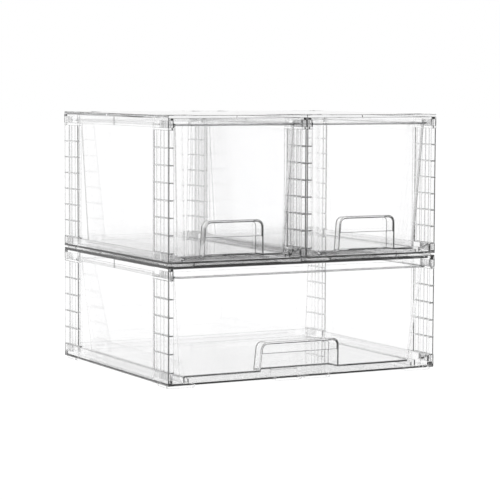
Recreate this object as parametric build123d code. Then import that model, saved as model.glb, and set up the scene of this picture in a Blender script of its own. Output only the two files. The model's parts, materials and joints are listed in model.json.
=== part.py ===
from build123d import *
from dataclasses import dataclass
import os

# A clear plastic storage stack for shoes: two half-width drawer boxes stand side by side on one
# full-width drawer box. Each box is a top panel and a base panel joined by four ribbed corner posts,
# with thin sheets for its sides and back, and a tapered drawer that slides out at the front.
# Millimetres. X runs left to right, Y runs from the front to the back, Z is up. The origin is at the
# middle of the footprint, on the surface that the feet stand on.
# Each box is modelled in its own local frame, whose origin is the front left corner of its underside.

# Stack
cell_width = 205.0          # width that one half-width box takes up
box_gap = 0.4               # between two boxes that stand side by side
depth = 340.0               # front edge to back edge of every box
seat_gap = 0.05             # film of air between two pieces where one rests on the other


@dataclass(frozen=True)
class BoxSize:
    """The sizes in which the full-width box and the half-width boxes differ."""
    cells: int              # how many cells wide the box is
    height: float           # underside of the base to the top face
    rim_height: float       # height of the base's rims and corner sockets
    post_rings: int         # cross ribs along each corner post
    front_rail: float       # how far the front rail hangs below the top plate
    drawer_lift: float      # underside of the box to the underside of the drawer
    side_taper: float       # how much narrower the drawer is at its floor, on each side
    front_taper: float      # how far the drawer's front leans back at its floor
    pull_width: float       # finger pocket, in front and at its foot
    pull_height: float      # finger pocket, above the drawer's underside
    pull_depth: float       # drawer's front wall to the pocket's back wall, front face to front face
    finger_opening: float   # lower edge of the pull's lip, above the drawer's underside


wide_box = BoxSize(cells=2, height=156.0, rim_height=16.5, post_rings=4, front_rail=9.5, drawer_lift=7.5,
                   side_taper=14.0, front_taper=13.0, pull_width=119.6, pull_height=37.6, pull_depth=21.0,
                   finger_opening=24.3)
half_box = BoxSize(cells=1, height=191.4, rim_height=12.9, post_rings=6, front_rail=6.2, drawer_lift=5.6,
                   side_taper=9.0, front_taper=10.0, pull_width=87.4, pull_height=45.6, pull_depth=15.0,
                   finger_opening=25.8)

# Panels
plate = 4.0                 # top plate
base_floor = 2.4            # floor of the base panel
sill = 3.6                  # low front edge of the base panel
sill_wall = 2.0
skirt = 12.0                # how far the skirts and sockets hang below the top plate
skirt_setback = 0.6         # outer face of skirts, rims and front rail, behind the plate's edge
leg = 1.5                   # each of the two walls of a skirt or rim
sheet = 1.6                 # side and back sheets
sheet_clearance = 0.25      # between a sheet and each wall of its groove, and at its free edges
groove_depth = 6.0          # how far the sheets enter the skirts
rim_solid = 5.0             # floor of the groove in the base's rims
rail_wall = 2.0
rail_band = 3.4             # proud band along the top of the front rail
rail_step = 0.8             # how far the band stands out from the rest of the rail
clip_width = 2.6            # upright rib in the middle of each side skirt
plan_radius = 2.0           # corners of the top plate, seen from above
edge_radius = 0.6           # upper edge of the top plate

# Corner posts and their sockets
post_width = 8.0            # along X
post_depth = 47.5           # along Y
post_wall = 1.6
post_web = 1.2
web_places = (15.0, 24.0, 36.5)     # upright webs inside a post, from its outer end
web_setback = 0.8           # webs and cross ribs stop short of the post's inner face
ring_height = 1.2           # cross rib
ring_stand = 0.3            # how far cross ribs and collars stand out from the post's skin
ring_margin = 5.0           # cross ribs stop this far from the post's inner end
collar = 3.2                # solid collar under the top panel's socket
post_foot = 1.2             # thin plate that stands on the base's socket
socket_wall = 1.4
socket_pocket = 27.5        # outer end of a socket to the far end of its pocket
tenon_clearance = 0.2
tenon_length = 9.0
tenon_ribs = 5
corner_radius = 1.2         # outer upright edge of posts and sockets
gusset_run = 11.3           # sloping cheek beside each front socket of the base
gusset_drop = 5.2
gusset_nose = 2.7
gusset_depth = 7.0          # along Y

# Feet, and the shallow seats for them in a top plate
foot_inset = 2.0
foot_size = 40.0
foot_wall = 2.4
foot_height = 3.4
foot_radius = 8.0
seat_depth = 0.8
seat_clearance = 0.5

# Drawers
drawer_wall = 1.8
drawer_floor = 2.0
lip_width = 3.5             # rim around the drawer's mouth
lip_height = 1.8
rim_clearance = 2.5         # posts to the drawer's rim
drawer_inset = post_width + rim_clearance + lip_width   # side of the box to the drawer's wall, at the top
drawer_front = 4.5          # front of the box to the drawer's front wall, at the top
drawer_back = 24.0          # back of the box to the drawer's back wall, at the top
back_taper = 3.0
drawer_radius = 8.0         # upright corners
drawer_top_gap = 1.0        # below the front rail
pull_draft = 2.5            # how much narrower the pocket is at its top, on each side
pull_narrowing = 2.5        # how much narrower the pocket is at its back, on each side
pull_radius = 8.0
lip_setback = 0.8           # front of the pull's lip, behind the drawer's front

# Runners and stops on the base
runner_width = 6.0          # guide to the far side of the rib that carries the drawer
runner_wall = 1.6
guide_wall = 1.6
guide_height = 3.0          # above the drawer's underside
guide_clearance = 0.8
runner_front = 8.0          # front of the box to the front of the runners
runner_back = 20.0          # back of the box to the back of the runners
tab_length = 40.0           # stop tab under the drawer, across the box
tab_wall = 3.0
tab_setback = 9.0           # back face of the tab, from the back edge of the drawer's floor
tab_place = depth - drawer_back - back_taper - tab_setback - tab_wall   # front of the box to the tab
stop_wall = 2.0
front_stop = 62.0           # back face of the front stop, from the front of the box
stop_clearance = 0.3        # tab to rear stop when the drawer is shut
under_clearance = 0.6       # tab above the floor, and stops below the drawer


def block(x, y, z):
    """A box between two values on each axis."""
    centre = Pos((x[0] + x[1]) / 2, (y[0] + y[1]) / 2, (z[0] + z[1]) / 2)
    return centre * Box(x[1] - x[0], y[1] - y[0], z[1] - z[0])


def rounded_block(x, y, z, radius):
    """A box whose four upright edges are rounded."""
    centre = Pos((x[0] + x[1]) / 2, (y[0] + y[1]) / 2, z[0])
    return centre * extrude(RectangleRounded(x[1] - x[0], y[1] - y[0], radius), z[1] - z[0])


def width_of(box):
    return box.cells * cell_width - box_gap


def plate_underside(box):
    return box.height - plate


def across(shape, box):
    """The shape and its mirror image on the other side of the box."""
    return [shape, mirror(shape, about=Plane.YZ.offset(width_of(box) / 2))]


def lengthways(shape):
    """The shape and its mirror image at the other end of the box."""
    return [shape, mirror(shape, about=Plane.XZ.offset(-depth / 2))]


def at_corners(shape, box):
    return [corner for end in lengthways(shape) for corner in across(end, box)]


def corner_block(z, inset):
    """Front left corner column with a rounded outer edge, its outer faces moved in by an inset."""
    body = block((inset, post_width), (inset, post_depth - inset), z)
    nearest = body.edges().filter_by(Axis.Z).sort_by_distance((0, 0, z[0]))[0]
    return fillet(nearest, corner_radius)


def socket(bottom, top, pocket_bottom, pocket_top):
    """Front left corner socket, with the pocket that takes a post's tenon."""
    body = corner_block((bottom, top), 0)
    pocket = block((socket_wall, post_width - socket_wall), (socket_wall, socket_pocket),
                   (pocket_bottom, pocket_top))
    return body - pocket


def groove_x():
    """Span of a side sheet's groove, from the side of the box."""
    start = skirt_setback + leg
    return start, start + sheet + 2 * sheet_clearance


def grooved_rail(low, high, groove_low, groove_high):
    """Left side rail between the sockets, with the groove for the sheet."""
    inner = groove_x()[1] + leg
    rail = block((skirt_setback, inner), (post_depth, depth - post_depth), (low, high))
    groove = block(groove_x(), (post_depth, depth - post_depth), (groove_low, groove_high))
    return rail - groove


def grooved_back_rail(box, low, high, groove_low, groove_high):
    """Back rail between the rear sockets, with the groove for the sheet."""
    inner = groove_x()[1] + leg
    span = (post_width, width_of(box) - post_width)
    rail = block(span, (depth - inner, depth - skirt_setback), (low, high))
    groove = block(span, (depth - groove_x()[1], depth - groove_x()[0]), (groove_low, groove_high))
    return rail - groove


def foot_places(box):
    """Left end and front end of each foot, in the box's own frame."""
    cell_body = cell_width - box_gap
    far_x = cell_body - foot_inset - foot_size
    far_y = depth - foot_inset - foot_size
    starts = [cell * cell_width for cell in range(box.cells)]
    return [(start + x, y) for start in starts for x in (foot_inset, far_x) for y in (foot_inset, far_y)]


def foot(x, y):
    """A hollow square foot with rounded corners."""
    z = (-foot_height, 0)
    far = foot_size - foot_wall
    outer = rounded_block((x, x + foot_size), (y, y + foot_size), z, foot_radius)
    inner = rounded_block((x + foot_wall, x + far), (y + foot_wall, y + far), z, foot_radius - foot_wall)
    return outer - inner


def foot_seat(x, y, top):
    """The shallow seat that takes a foot of the box above."""
    grow = seat_clearance
    return rounded_block((x - grow, x + foot_size + grow), (y - grow, y + foot_size + grow),
                         (top - seat_depth, top), foot_radius + grow)


def top_panel(box):
    """Top plate with skirts, front rail and corner sockets."""
    width = width_of(box)
    under = plate_underside(box)
    low = under - skirt
    slab = rounded_block((0, width), (0, depth), (under, box.height), plan_radius)
    slab = fillet(slab.faces().sort_by(Axis.Z)[-1].edges(), edge_radius)
    seats = [foot_seat(x, y, box.height) for x, y in foot_places(box)]
    pocket = (low, low + tenon_length + tenon_clearance)
    sockets = at_corners(socket(low, under, *pocket), box)
    side = grooved_rail(low, under, low, low + groove_depth + sheet_clearance)
    clip = block((0, skirt_setback), (depth / 2 - clip_width / 2, depth / 2 + clip_width / 2), (low, under))
    sides = across(side + clip, box)
    back = grooved_back_rail(box, low, under, low, low + groove_depth + sheet_clearance)
    rail_y = (skirt_setback + rail_step, skirt_setback + rail_step + rail_wall)
    span = (post_width, width - post_width)
    rail = block(span, rail_y, (under - box.front_rail, under))
    band = block(span, (skirt_setback, rail_y[0]), (under - rail_band, under))
    return slab - seats + sockets + sides + [back, rail, band]


def gusset(box):
    """Sloping cheek beside the front left socket of the base."""
    inner = post_width + gusset_run
    points = [(post_width, 0), (post_width, box.rim_height), (inner, box.rim_height - gusset_drop),
              (inner + gusset_nose, sill), (inner + gusset_nose, 0)]
    face = make_face(Polyline(*points, close=True))
    return Pos(0, skirt_setback + gusset_depth, 0) * (Plane.XZ * extrude(face, gusset_depth))


def runner(box):
    """Left runner: a rib that carries the drawer's floor, and a taller guide beside it."""
    inner = drawer_inset + box.side_taper - guide_clearance
    far = inner + runner_width
    span = (runner_front, depth - runner_back)
    rib = block((far - runner_wall, far), span, (base_floor, box.drawer_lift - seat_gap))
    guide = block((inner - guide_wall, inner), span, (base_floor, box.drawer_lift + guide_height))
    return rib + guide


def stop_span(box):
    middle = width_of(box) / 2
    return middle - tab_length / 2, middle + tab_length / 2


def stops(box):
    """The front stop holds the drawer's tab when it is pulled out, the rear stop when it is shut."""
    top = box.drawer_lift - under_clearance
    rear = tab_place + tab_wall + stop_clearance
    front = block(stop_span(box), (front_stop - stop_wall, front_stop), (base_floor, top))
    return [front, block(stop_span(box), (rear, rear + stop_wall), (base_floor, top))]


def base_panel(box):
    """Base floor with rims, sill, corner sockets, runners, stops and feet."""
    width = width_of(box)
    high = box.rim_height
    inside = skirt_setback
    slab = block((inside, width - inside), (inside, depth - inside), (0, base_floor))
    pocket = (high - tenon_length - tenon_clearance, high)
    sockets = at_corners(socket(0, high, *pocket), box)
    sides = across(grooved_rail(0, high, rim_solid, high), box)
    back = grooved_back_rail(box, 0, high, rim_solid, high)
    front = block((post_width, width - post_width), (inside, inside + sill_wall), (0, sill))
    cheeks = across(gusset(box), box)
    runners = across(runner(box), box)
    feet = [foot(x, y) for x, y in foot_places(box)]
    return slab + sockets + sides + [back, front] + cheeks + runners + stops(box) + feet


def post(box):
    """Front left corner post, open towards the drawer, with a tenon at each end."""
    low = box.rim_height + seat_gap
    high = plate_underside(box) - skirt - seat_gap
    shaft_z = (low + post_foot, high - collar)
    skin = ring_stand + post_wall
    inner = post_width - web_setback
    hollow = block((skin, post_width), (skin, post_depth - skin), shaft_z)
    shaft = corner_block(shaft_z, ring_stand) - hollow
    ends = [corner_block((low, shaft_z[0]), 0), corner_block((shaft_z[1], high), 0)]
    webs = [block((skin, inner), (y, y + post_web), shaft_z) for y in web_places]
    pitch = (shaft_z[1] - shaft_z[0]) / (box.post_rings + 1)
    middles = [shaft_z[0] + pitch * (ring + 1) for ring in range(box.post_rings)]
    spans = [(z - ring_height / 2, z + ring_height / 2) for z in middles]
    rings = [corner_block(z, 0) & block((0, inner), (0, post_depth - ring_margin), z) for z in spans]
    tenons = tenon((low - tenon_length, low)) + tenon((high, high + tenon_length))
    return shaft + ends + webs + rings + tenons


def tenon(z):
    """Pieces of the plug that fills a socket's pocket: a spine with ribs across it."""
    edge = socket_wall + tenon_clearance
    middle = post_width / 2
    last = socket_pocket - tenon_clearance - post_web
    pitch = (last - edge) / (tenon_ribs - 1)
    ribs = [edge + pitch * rib for rib in range(tenon_ribs)]
    spine = block((middle - post_web / 2, middle + post_web / 2), (edge, last + post_web), z)
    return [spine] + [block((edge, post_width - edge), (y, y + post_web), z) for y in ribs]


def side_sheet(box):
    """Left side sheet, standing in the base's groove and held by the top panel's skirt."""
    left = groove_x()[0] + sheet_clearance
    return block((left, left + sheet), (post_depth + sheet_clearance, depth - post_depth - sheet_clearance),
                 sheet_z(box))


def back_sheet(box):
    back = depth - groove_x()[0] - sheet_clearance
    span = (post_width + sheet_clearance, width_of(box) - post_width - sheet_clearance)
    return block(span, (back - sheet, back), sheet_z(box))


def sheet_z(box):
    return rim_solid + seat_gap, plate_underside(box) - skirt + groove_depth


def drawer_top(box):
    return plate_underside(box) - box.front_rail - drawer_top_gap


def drawer_spans(box, z, inset):
    """Span of the drawer's walls at height z along X and Y, moved in by an inset."""
    share = (drawer_top(box) - z) / (drawer_top(box) - box.drawer_lift)
    side = drawer_inset + share * box.side_taper + inset
    front = drawer_front + share * box.front_taper + inset
    back = depth - drawer_back - share * back_taper - inset
    return (side, width_of(box) - side), (front, back)


def drawer_section(box, z, inset, radius):
    x, y = drawer_spans(box, z, inset)
    return Pos((x[0] + x[1]) / 2, (y[0] + y[1]) / 2, z) * RectangleRounded(x[1] - x[0], y[1] - y[0], radius)


def drawer_volume(box, low, high, inset):
    radius = drawer_radius - inset
    return loft([drawer_section(box, low, inset, radius), drawer_section(box, high, inset, radius)])


def arch_face(box, foot_z, grow, y):
    """Outline of the pull at a distance from the front, rounded at its upper corners, grown by a wall."""
    share = (y - drawer_front - box.front_taper) / box.pull_depth
    half = box.pull_width / 2 - share * pull_narrowing + grow
    lean = pull_draft / box.pull_height
    top = box.drawer_lift + box.pull_height + grow
    foot_half = half + (box.drawer_lift - foot_z) * lean
    top_half = foot_half - (top - foot_z) * lean
    corners = [(-foot_half, foot_z), (foot_half, foot_z), (top_half, top), (-top_half, top)]
    face = make_face(Polyline(*corners, close=True))
    face = fillet(face.vertices().sort_by(Axis.Y)[-2:], pull_radius + grow)
    return Pos(width_of(box) / 2, y, 0) * (Plane.XZ * face)


def pull_space(box, foot_z, grow, reach):
    """The pull's outline carried back to a surface that lies behind the drawer's front by its reach."""
    back = drawer_front + box.front_taper + reach
    outline = loft([arch_face(box, foot_z, grow, 0), arch_face(box, foot_z, grow, back)])
    behind = Pos(0, reach, 0) * drawer_volume(box, box.drawer_lift, drawer_top(box), 0)
    return outline - behind


def drawer(box):
    """Tapered drawer with a rim and a finger pocket that is open below and in front."""
    low = box.drawer_lift
    high = drawer_top(box)
    outside = drawer_volume(box, low, high, 0)
    inside = drawer_volume(box, low + drawer_floor, high, drawer_wall)
    pocket_wall = pull_space(box, low, drawer_wall, box.pull_depth + drawer_wall) & outside
    below_lip = block((0, width_of(box)), (0, depth), (low - drawer_floor, low + box.finger_opening))
    behind_lip = Pos(0, lip_setback, 0) * drawer_volume(box, low, high, drawer_wall)
    pocket = pull_space(box, low - drawer_floor, 0, box.pull_depth) & (below_lip + behind_lip)
    lip_recess = pull_space(box, low, 0, lip_setback)
    x, y = drawer_spans(box, high, -lip_width)
    rim = rounded_block(x, y, (high - lip_height, high), drawer_radius + lip_width)
    x, y = drawer_spans(box, high, drawer_wall)
    mouth = rounded_block(x, y, (high - lip_height, high), drawer_radius - drawer_wall)
    tab = block(stop_span(box), (tab_place, tab_place + tab_wall), (base_floor + under_clearance, low))
    return outside - inside + pocket_wall - pocket - lip_recess + (rim - mouth) + tab


def box_pieces(box):
    """Every piece of one box, by name, in the box's own frame."""
    front_left = post(box)
    rear_left = lengthways(front_left)[1]
    left_sheet = side_sheet(box)
    return {
        "base_panel": base_panel(box),
        "top_panel": top_panel(box),
        "front_left_post": front_left,
        "front_right_post": across(front_left, box)[1],
        "rear_left_post": rear_left,
        "rear_right_post": across(rear_left, box)[1],
        "left_side_sheet": left_sheet,
        "right_side_sheet": across(left_sheet, box)[1],
        "back_sheet": back_sheet(box),
        "drawer": drawer(box),
    }


def export_box(prefix, pieces, corner):
    for name, shape in pieces.items():
        export_step(Pos(*corner) * shape, f"parts/{prefix}_{name}.step")


os.makedirs("parts", exist_ok=True)
left_edge = -width_of(wide_box) / 2
front_edge = -depth / 2
lower_base = foot_height
upper_base = lower_base + wide_box.height - seat_depth + seat_gap + foot_height
half_pieces = box_pieces(half_box)
export_box("lower", box_pieces(wide_box), (left_edge, front_edge, lower_base))
export_box("upper_left", half_pieces, (left_edge, front_edge, upper_base))
export_box("upper_right", half_pieces, (left_edge + cell_width, front_edge, upper_base))
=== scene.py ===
import json
import math
import bpy
from mathutils import Matrix, Vector


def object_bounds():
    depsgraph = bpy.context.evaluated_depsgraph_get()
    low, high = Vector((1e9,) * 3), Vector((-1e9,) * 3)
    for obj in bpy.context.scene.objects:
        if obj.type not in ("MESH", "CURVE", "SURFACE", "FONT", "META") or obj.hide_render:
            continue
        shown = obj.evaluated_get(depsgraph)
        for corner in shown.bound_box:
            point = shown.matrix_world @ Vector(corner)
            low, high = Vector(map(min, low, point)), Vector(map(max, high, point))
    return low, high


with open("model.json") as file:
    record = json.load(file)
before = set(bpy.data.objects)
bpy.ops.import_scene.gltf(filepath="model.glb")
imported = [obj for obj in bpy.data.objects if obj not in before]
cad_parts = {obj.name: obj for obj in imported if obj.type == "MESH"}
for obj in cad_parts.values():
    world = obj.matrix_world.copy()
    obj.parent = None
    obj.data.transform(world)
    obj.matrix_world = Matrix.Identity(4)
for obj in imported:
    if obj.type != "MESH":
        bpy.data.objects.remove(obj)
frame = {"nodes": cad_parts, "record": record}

# Lengths are in metres and turns in degrees, unless a comment says otherwise
cad_low, cad_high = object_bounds()

# Camera: where it stands, how it is turned, its lens and sensor in millimetres, and how far it sees
CAMERA_PLACE = (-1.3232, -2.4632, 0.3979)
YAW, PITCH, ROLL = 28.35, -4.854, 0.249
LENS, SENSOR = 143.45, 36.0
CAMERA_REACH = 100

# Studio: half the width of the table, its paint, and how often light may bounce
TABLE_HALF = 15.0
TABLE_PAINT = (0.05, 0.05, 0.05, 1)
TABLE_ROUGHNESS = 0.9
WHITE = (1, 1, 1, 1)
CLEAR_BOUNCES = 40
DIFFUSE_BOUNCES = 3

# Dark flags on the table, out of the picture: the corner of the stack that each one opens out from, and its
# span seen from there (0 is straight back, 90 to the right). Only plastic that bends light aside shows them.
FLAGS = (((cad_low[0], cad_high[1]), (-10.0, 15.0)), ((cad_high[0], cad_low[1]), (43.0, 80.0)))
FLAG_BLUR = 3.0
FLAG_START = (1.0, 1.4)     # distances from the stack between which they set in
FLAG_LEVEL = 0.1            # how bright they are, against 1 for the table

# Clear plastic: what a thin wall lets through, and how a long way through it darkens
REFRACTION = 1.57
THIN = (0.998, 0.998, 0.999, 1)
SMOKE = (0.45, 0.46, 0.48, 1)
SMOKE_DENSITY = 0.4         # per metre

# Painted shade of the edges: a grey in the plastic's colour, standing in for the dark lines that refraction
# draws at rounded edges. The turn of the surface where it starts, as a cosine, the distances behind the
# stack's front between which it fades, and how many samples round an edge off
PAINTED_EDGE_SHADE_START = 0.997
PAINTED_EDGE_SHADE_FADE = (0.03, 0.08)
EDGE_SAMPLES = 8

# Waves left by the mould, and haze: how much finer than the waves it is, its noise's span, and their detail
WAVE_HEIGHT = 0.00002
WAVE_DETAIL = 2.0
HAZE_FINENESS = 2.5
HAZE_SPAN = (0.35, 0.75)
HAZE_DETAIL = 4.0


def node(tree, kind, inputs=None, **settings):
    """A shader node with its settings, and its inputs set or linked."""
    made = tree.nodes.new(kind)
    for key, value in settings.items():
        setattr(made, key, value)
    for key, value in (inputs or {}).items():
        if isinstance(value, bpy.types.NodeSocket):
            tree.links.new(value, made.inputs[key])
        else:
            made.inputs[key].default_value = value
    return made


def noise(tree, place, size, detail):
    made = node(tree, "ShaderNodeTexNoise", {"Vector": place, "Scale": 1 / size, "Detail": detail})
    return made.outputs["Fac"]


def map_range(tree, value, source, target):
    made = node(tree, "ShaderNodeMapRange", {"Value": value, "From Min": source[0], "From Max": source[1],
                                             "To Min": target[0], "To Max": target[1]})
    return made.outputs["Result"]


def maths(tree, operation, first, second):
    return node(tree, "ShaderNodeMath", {0: first, 1: second}, operation=operation).outputs[0]


def painted_edge_shade(tree, rounded, painted_shade_full, place, back_painted_shade):
    """How much painted shade an edge gets, in place of the dark line that refraction draws there: full on
    edges in front, less towards the back.
    """
    surface = node(tree, "ShaderNodeNewGeometry")
    turn = node(tree, "ShaderNodeVectorMath", {0: rounded, 1: surface.outputs["Normal"]},
                operation="DOT_PRODUCT")
    edge = map_range(tree, turn.outputs["Value"], (PAINTED_EDGE_SHADE_START, painted_shade_full), (0.0, 1.0))
    axes = node(tree, "ShaderNodeSeparateXYZ", {"Vector": place})
    fade_span = [cad_low[1] + distance for distance in PAINTED_EDGE_SHADE_FADE]
    fade = map_range(tree, axes.outputs["Y"], fade_span, (1.0, back_painted_shade))
    return maths(tree, "MULTIPLY", edge, fade)


def clear_plastic(name, painted_shade_grey, edge_width, painted_shade_full, back_painted_shade, wave_size, haze_roughness):
    """Clear moulded plastic: a grey painted shade along its rounded edges, standing in for the dark lines
    that refraction draws there, with faint waves and haze from the mould.
    """
    material = bpy.data.materials.new(name)
    material.use_nodes = True
    tree = material.node_tree
    tree.nodes.clear()
    place = node(tree, "ShaderNodeTexCoord").outputs["Object"]
    rounded = node(tree, "ShaderNodeBevel", {"Radius": edge_width}, samples=EDGE_SAMPLES).outputs["Normal"]
    # Painted shade: the plastic's colour turns grey along its edges, where refraction in the real plastic
    # shows dark lines
    painted_shade_share = painted_edge_shade(tree, rounded, painted_shade_full, place, back_painted_shade)
    # A colour mix's two colours are its inputs 6 and 7, and its result is output 2
    colour = node(tree, "ShaderNodeMix", {"Factor": painted_shade_share}, data_type="RGBA")
    colour.inputs[6].default_value = THIN
    colour.inputs[7].default_value = (*painted_shade_grey, 1)
    grain = noise(tree, place, wave_size / HAZE_FINENESS, HAZE_DETAIL)
    haze = map_range(tree, grain, HAZE_SPAN, (0.0, haze_roughness))
    swell = noise(tree, place, wave_size, WAVE_DETAIL)
    waves = node(tree, "ShaderNodeBump", {"Normal": rounded, "Height": swell, "Distance": WAVE_HEIGHT,
                                          "Strength": 1.0})
    skin = node(tree, "ShaderNodeBsdfPrincipled",
                {"Base Color": colour.outputs[2], "Roughness": haze, "IOR": REFRACTION,
                 "Transmission Weight": 1.0, "Normal": waves.outputs["Normal"]})
    body = node(tree, "ShaderNodeVolumeAbsorption", {"Color": SMOKE, "Density": SMOKE_DENSITY})
    out = node(tree, "ShaderNodeOutputMaterial")
    tree.links.new(skin.outputs["BSDF"], out.inputs["Surface"])
    tree.links.new(body.outputs["Volume"], out.inputs["Volume"])
    return material


def flag_shade(tree, place):
    """Brightness of the table: white, but dim where the flags are, which the camera itself doesn't see."""
    blur = math.radians(FLAG_BLUR)
    shade = 1.0
    for corner, (start, end) in FLAGS:
        middle, half = math.radians((start + end) / 2), math.radians((end - start) / 2)
        away = node(tree, "ShaderNodeVectorMath", {0: place, 1: (*corner, 0)}, operation="SUBTRACT")
        axes = node(tree, "ShaderNodeSeparateXYZ", {"Vector": away.outputs["Vector"]})
        turn = maths(tree, "ARCTAN2", axes.outputs["X"], axes.outputs["Y"])
        off = maths(tree, "ABSOLUTE", maths(tree, "SUBTRACT", turn, middle), 0.0)
        dim = map_range(tree, off, (half - blur, half + blur), (FLAG_LEVEL, 1.0))
        shade = maths(tree, "MULTIPLY", dim, shade)
    distance = node(tree, "ShaderNodeVectorMath", {0: place}, operation="LENGTH").outputs["Value"]
    shade = maths(tree, "MAXIMUM", shade, map_range(tree, distance, FLAG_START, (1.0, FLAG_LEVEL)))
    return maths(tree, "MAXIMUM", shade, node(tree, "ShaderNodeLightPath").outputs["Is Camera Ray"])


def studio_table():
    """A pale light table, level with the feet: it glows as white as the studio around it."""
    half = TABLE_HALF
    corners = [(-half, -half, 0), (half, -half, 0), (half, half, 0), (-half, half, 0)]
    mesh = bpy.data.meshes.new("floor")
    mesh.from_pydata(corners, [], [(0, 1, 2, 3)])
    table = bpy.data.objects.new("floor", mesh)
    bpy.context.scene.collection.objects.link(table)
    material = bpy.data.materials.new("pale_floor")
    material.use_nodes = True
    tree = material.node_tree
    skin = tree.nodes["Principled BSDF"]
    skin.inputs["Base Color"].default_value = TABLE_PAINT
    skin.inputs["Roughness"].default_value = TABLE_ROUGHNESS
    skin.inputs["Specular IOR Level"].default_value = 0.0
    skin.inputs["Emission Color"].default_value = WHITE
    glow = flag_shade(tree, node(tree, "ShaderNodeTexCoord").outputs["Object"])
    tree.links.new(glow, skin.inputs["Emission Strength"])
    mesh.materials.append(material)


def studio_light():
    """White light from all round, above the table."""
    world = bpy.data.worlds.new("studio")
    world.use_nodes = True
    tree = world.node_tree
    tree.nodes.clear()
    back = node(tree, "ShaderNodeBackground", {"Strength": 1.0, "Color": WHITE})
    out = node(tree, "ShaderNodeOutputWorld")
    tree.links.new(back.outputs[0], out.inputs["Surface"])
    bpy.context.scene.world = world


def photo_camera():
    yaw, pitch, roll = (math.radians(angle) for angle in (YAW, PITCH, ROLL))
    ahead = Vector((math.sin(yaw) * math.cos(pitch), math.cos(yaw) * math.cos(pitch), math.sin(pitch)))
    level = Vector((math.cos(yaw), -math.sin(yaw), 0))
    upright = level.cross(ahead)
    right = math.cos(roll) * level + math.sin(roll) * upright
    up = math.cos(roll) * upright - math.sin(roll) * level
    data = bpy.data.cameras.new("photo_camera")
    data.lens, data.sensor_width = LENS, SENSOR
    data.clip_end = CAMERA_REACH
    camera = bpy.data.objects.new("photo_camera", data)
    camera.matrix_world = Matrix.Translation(CAMERA_PLACE) @ Matrix((right, up, -ahead)).transposed().to_4x4()
    bpy.context.scene.collection.objects.link(camera)
    bpy.context.scene.camera = camera


def light_paths():
    """Plain colours, and enough bounces for light to cross every wall of the stack."""
    scene = bpy.context.scene
    scene.view_settings.view_transform = "Standard"
    scene.cycles.max_bounces = CLEAR_BOUNCES
    scene.cycles.transmission_bounces = CLEAR_BOUNCES
    scene.cycles.transparent_max_bounces = CLEAR_BOUNCES
    scene.cycles.diffuse_bounces = DIFFUSE_BOUNCES
    scene.cycles.caustics_refractive = True
    scene.cycles.caustics_reflective = False


# Painted shade of the edges (a grey standing in for refraction's dark lines), their width, the cosine of the
# turn that makes them fully grey, how much of the painted shade the edges at the back keep, size of the waves
# in the surface, and roughness of the haze
MATERIALS = {
    "clear_panel": clear_plastic("clear_panel", (0.4, 0.405, 0.41), 0.0005, 0.8, 0.7, 0.05, 0.03),
    "clear_post": clear_plastic("clear_post", (0.32, 0.325, 0.33), 0.0006, 0.8, 0.6, 0.03, 0.03),
    "clear_sheet": clear_plastic("clear_sheet", (0.4, 0.405, 0.41), 0.0005, 0.8, 0.6, 0.08, 0.02),
    "clear_drawer": clear_plastic("clear_drawer", (0.01, 0.0105, 0.012), 0.0017, 0.96, 0.2, 0.06, 0.02),
}
slot_of = {part["node"]: part["material_slot"] for part in frame["record"]["subparts"]}
for name, piece in frame["nodes"].items():
    material = MATERIALS[slot_of[name]]
    for index in range(len(piece.material_slots)):
        piece.material_slots[index].material = material
    if not piece.material_slots:
        piece.data.materials.append(material)

studio_table()
studio_light()
photo_camera()
light_paths()
